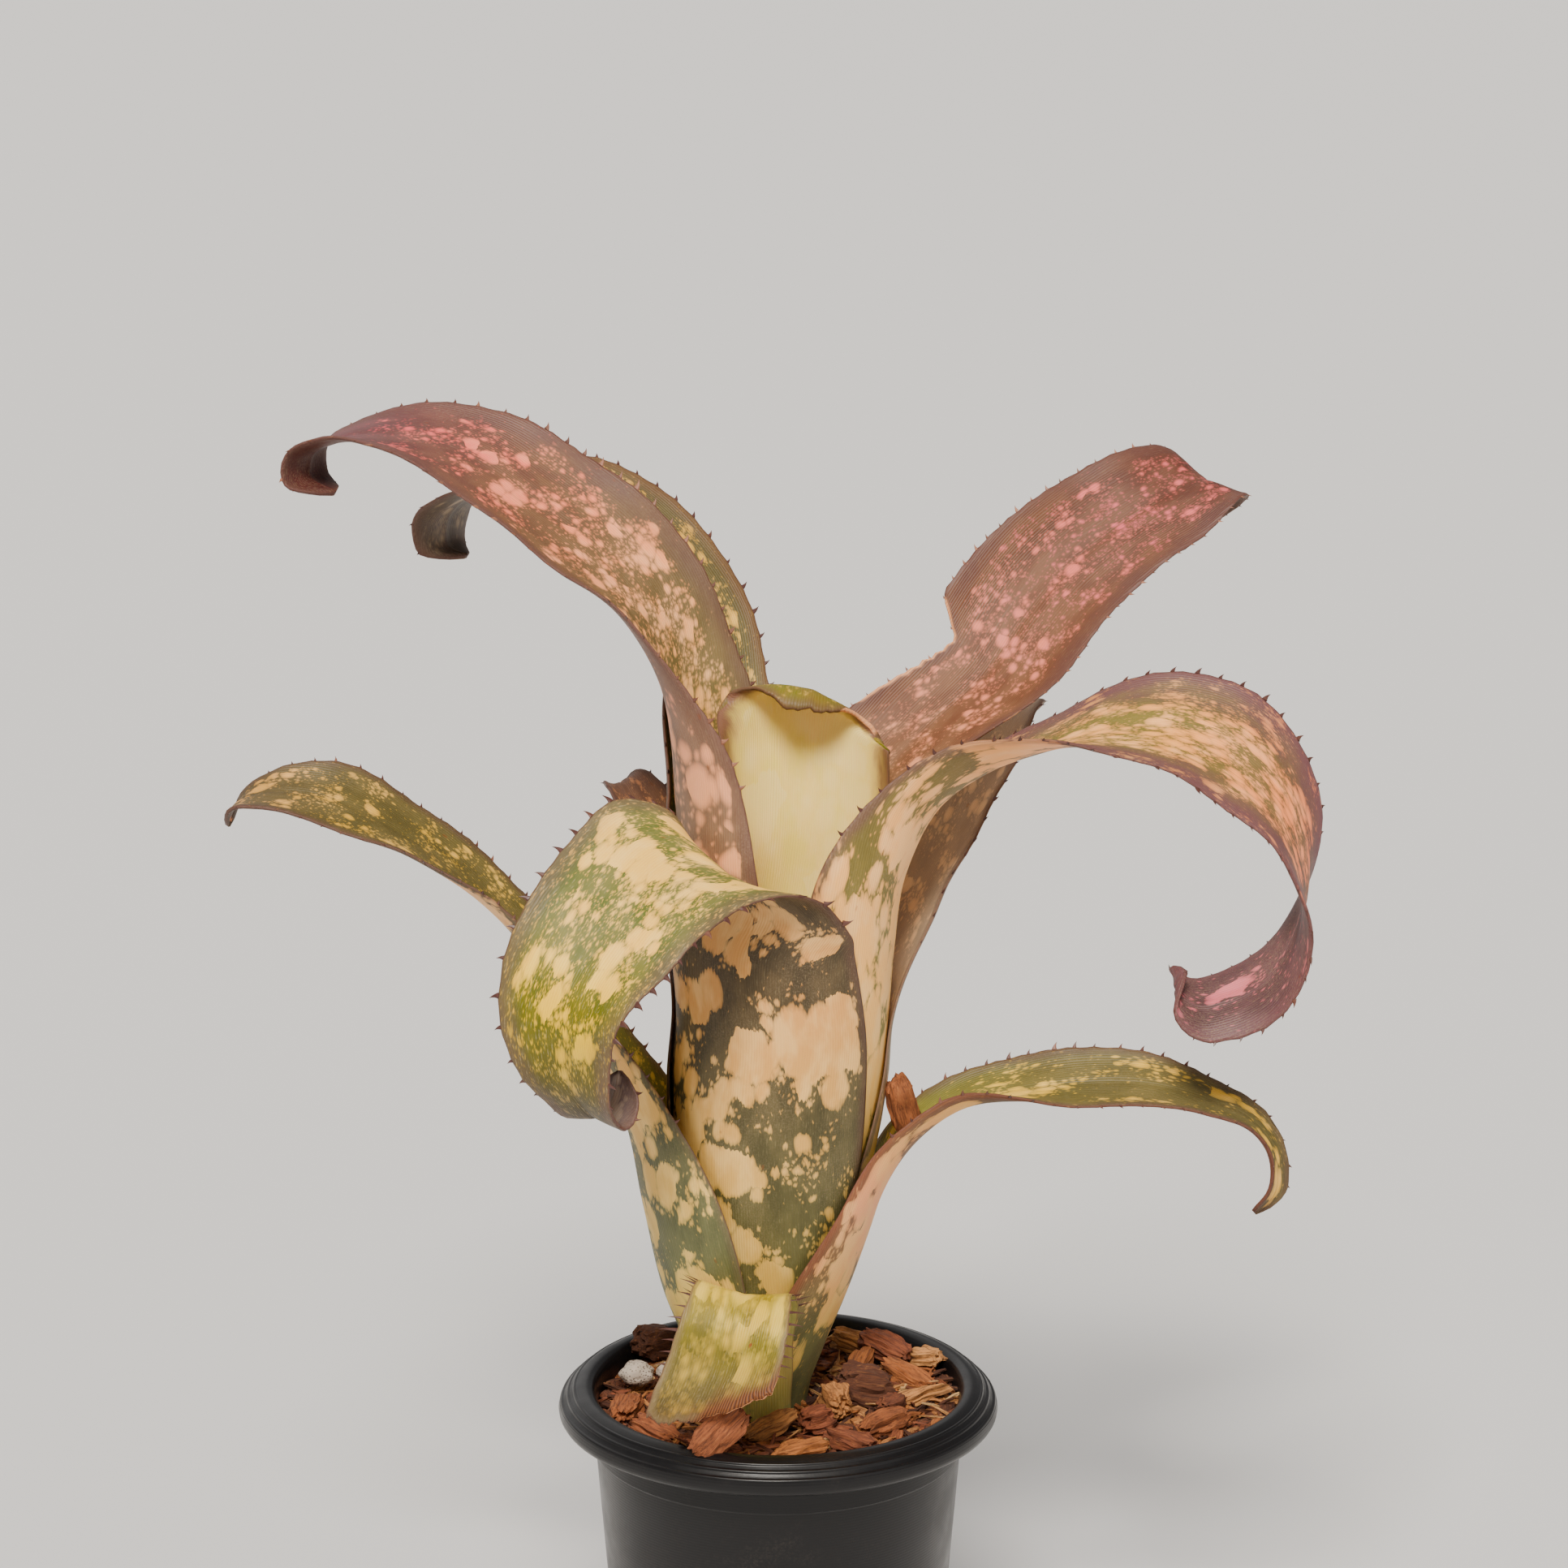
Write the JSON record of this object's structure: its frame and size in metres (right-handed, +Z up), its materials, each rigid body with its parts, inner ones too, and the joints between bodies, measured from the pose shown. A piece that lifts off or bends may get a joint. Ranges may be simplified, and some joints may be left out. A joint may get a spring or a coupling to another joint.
{
  "type": "potted billbergia",
  "caption": "Tubular rosette of spine-edged, curling strap leaves, speckled cream and pink, rooted in bark chips in a round nursery pot with a rolled rim.",
  "frame": {"origin": "centre of the pot's underside", "axes": "+Z up, along the pot's axis; -Y is the front, where the broad leaf folds over to the left; +X to the right as seen from the front"},
  "size_m": [0.257, 0.1613, 0.3261],
  "materials": {
    "pot": "semi-matte black",
    "bark": "rough fibrous husk",
    "pumice": "rough pale",
    "stem": "matte",
    "leaf_yellow": "satin, browning at the tip",
    "leaf_olive": "satin, cream speckles",
    "leaf_green": "satin, cream blotches",
    "leaf_cream": "satin, olive network on cream",
    "leaf_pink": "satin, pink and cream spots",
    "leaf_pale": "satin"
  },
  "bodies": {
    "root": {"pot": "pot", "bark": "bark", "axil_chip": "bark", "pumice_large": "pumice", "pumice_small": "pumice", "stem_base": "stem", "leaf_front_low": "leaf_yellow", "leaf_left_low": "leaf_olive", "leaf_right_low": "leaf_olive", "leaf_back_low": "leaf_olive", "leaf_front": "leaf_green", "leaf_back_right": "leaf_olive", "leaf_right_arch": "leaf_cream", "leaf_back_left": "leaf_pink", "leaf_left_high": "leaf_pink", "leaf_right_high": "leaf_pink", "leaf_centre": "leaf_pale"}
  },
  "joints": []
}
